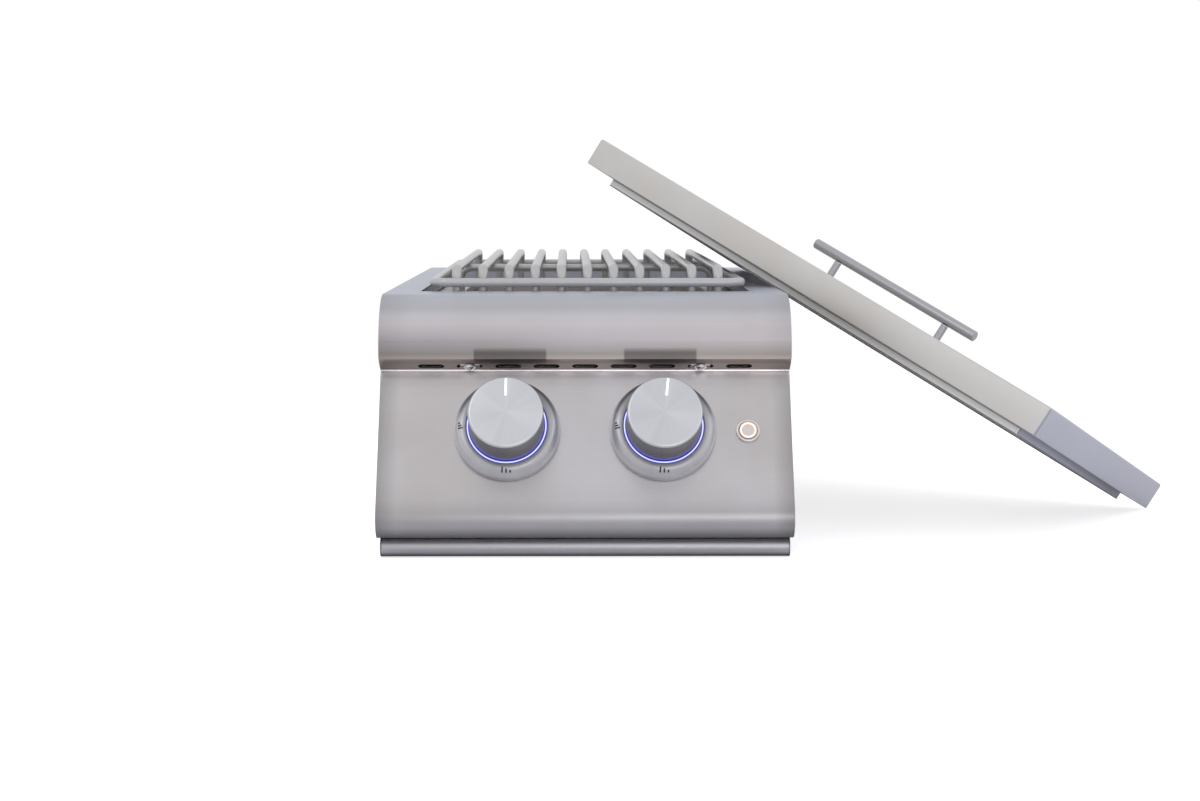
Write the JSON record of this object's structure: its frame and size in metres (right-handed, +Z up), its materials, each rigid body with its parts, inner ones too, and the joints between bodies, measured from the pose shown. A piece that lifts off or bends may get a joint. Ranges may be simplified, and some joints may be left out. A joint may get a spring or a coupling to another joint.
{
  "type": "built-in double side burner",
  "caption": "Drop-in gas side burner with a rolled front, sloping control panel, bent-rod grate over two burners, slide-out drip tray and a loose pan lid leaning on its deck.",
  "frame": {"origin": "centre of the underside of the casing, on the face that the unit stands on", "axes": "+Z up, -Y out of the front with the control panel, +X to the right seen from the front"},
  "size_m": [0.7971, 0.743, 0.3882],
  "materials": {
    "deck_steel": "satin, fine grain",
    "panel_steel": "satin, soft grain",
    "lid_steel": "satin",
    "inner_steel": "plain sheet",
    "rod_steel": "polished rod",
    "trim_steel": "satin",
    "knob_metal": "spun face",
    "screw_steel": "bright",
    "spring_steel": "drawn wire",
    "valve_brass": "machined",
    "cast_iron": "cast",
    "ceramic": "glazed",
    "module_plastic": "moulded",
    "pointer_white": "white inlay",
    "knob_glow": "lit light guide",
    "button_glow": "lit light guide"
  },
  "bodies": {
    "unit": {"top_deck": "deck_steel", "control_panel": "panel_steel", "end_cap_left": "panel_steel", "end_cap_right": "panel_steel", "mounting_flange": "inner_steel", "casing": "inner_steel", "rear_panel": "inner_steel", "heat_shield": "inner_steel", "burner_pan": "inner_steel", "pan_bracket_left": "inner_steel", "pan_bracket_right": "inner_steel", "gas_manifold": "inner_steel", "bezel_left": "trim_steel", "bezel_right": "trim_steel", "button_housing": "trim_steel", "panel_screw_left": "screw_steel", "panel_screw_right": "screw_steel", "valve_spring_left": "spring_steel", "valve_spring_right": "spring_steel", "electrode_front": "spring_steel", "electrode_rear": "spring_steel", "valve_body_left": "valve_brass", "valve_body_right": "valve_brass", "inlet_elbow": "valve_brass", "inlet_pipe": "valve_brass", "gas_connection": "valve_brass", "button_nut": "valve_brass", "burner_ring_front": "valve_brass", "burner_ring_rear": "valve_brass", "burner_base_front": "cast_iron", "burner_base_rear": "cast_iron", "burner_cap_front": "cast_iron", "burner_cap_rear": "cast_iron", "igniter_front": "ceramic", "igniter_rear": "ceramic", "spark_module": "module_plastic", "light_ring_left": "knob_glow", "light_ring_right": "knob_glow"},
    "grate": {"grate": "rod_steel"},
    "lid": {"lid_cover": "lid_steel", "lid_skirt": "lid_steel", "lid_handle_bar": "trim_steel", "lid_handle_post_left": "trim_steel", "lid_handle_post_right": "trim_steel"},
    "tray": {"drip_tray": "inner_steel", "drip_tray_front": "panel_steel"},
    "left_push": {"stem_collar_left": "spring_steel"},
    "left_knob": {"knob_left": "knob_metal", "knob_pointer_left": "pointer_white", "valve_stem_left": "spring_steel"},
    "right_push": {"stem_collar_right": "spring_steel"},
    "right_knob": {"knob_right": "knob_metal", "knob_pointer_right": "pointer_white", "valve_stem_right": "spring_steel"},
    "push_button": {"button_cap": "trim_steel", "button_light": "button_glow"}
  },
  "joints": [
    {"name": "grate_lift", "type": "slide", "parent": "unit", "child": "grate", "axis": [-0.7431, 0, 0.6691], "range_m": [0, 0.05]},
    {"name": "lid_lift", "type": "slide", "parent": "unit", "child": "lid", "axis": [0, 0, 1], "range_m": [0, 0.25]},
    {"name": "tray_slide", "type": "slide", "parent": "unit", "child": "tray", "axis": [0, -1, 0], "range_m": [0, 0.45]},
    {"name": "left_knob_push", "type": "slide", "parent": "unit", "child": "left_push", "axis": [0, 0.8821, -0.471], "range_m": [0, 0.003], "stiffness_N_per_m": 2500, "springref_m": -0.003, "deforming": ["valve_spring_left"]},
    {"name": "left_knob_turn", "type": "hinge", "parent": "left_push", "child": "left_knob", "pos_m": [-0.0718, -0.371, 0.11431], "axis": [0, -0.8821, 0.471], "range_deg": [0, 180]},
    {"name": "right_knob_push", "type": "slide", "parent": "unit", "child": "right_push", "axis": [0, 0.8821, -0.471], "range_m": [0, 0.003], "stiffness_N_per_m": 2500, "springref_m": -0.003, "deforming": ["valve_spring_right"]},
    {"name": "right_knob_turn", "type": "hinge", "parent": "right_push", "child": "right_knob", "pos_m": [0.0718, -0.371, 0.11431], "axis": [0, -0.8821, 0.471], "range_deg": [0, 186]},
    {"name": "button_press", "type": "slide", "parent": "unit", "child": "push_button", "axis": [0, 0.8821, -0.471], "range_m": [0, 0.002], "stiffness_N_per_m": 1500, "springref_m": -0.002}
  ]
}
